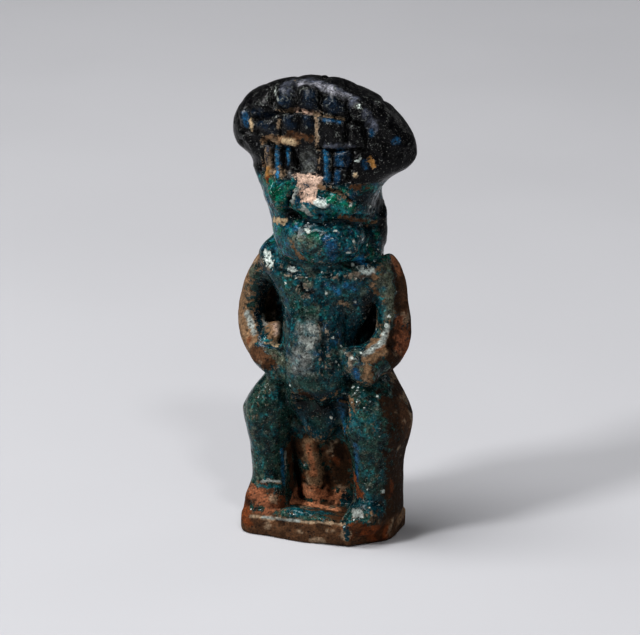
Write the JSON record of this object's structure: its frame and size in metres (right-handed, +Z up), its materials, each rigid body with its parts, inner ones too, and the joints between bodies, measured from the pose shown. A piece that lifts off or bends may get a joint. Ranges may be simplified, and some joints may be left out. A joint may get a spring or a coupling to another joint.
{
  "type": "bes amulet",
  "caption": "Small worn faience amulet of a squat Bes figure, hands on hips, under a broad crown of plumes, standing on a low chipped base.",
  "frame": {"origin": "on the flat underside of the base, below the middle of the crown", "axes": "+Z up through the crown, +Y to the back, +X to the viewer's right when facing the figure"},
  "size_m": [0.0156, 0.0081, 0.0376],
  "materials": {
    "faience": "worn dark teal to blue-black glaze, pitted and chipped down to a sandy quartz body"
  },
  "bodies": {
    "root": {"amulet_figure": "faience"}
  },
  "joints": []
}
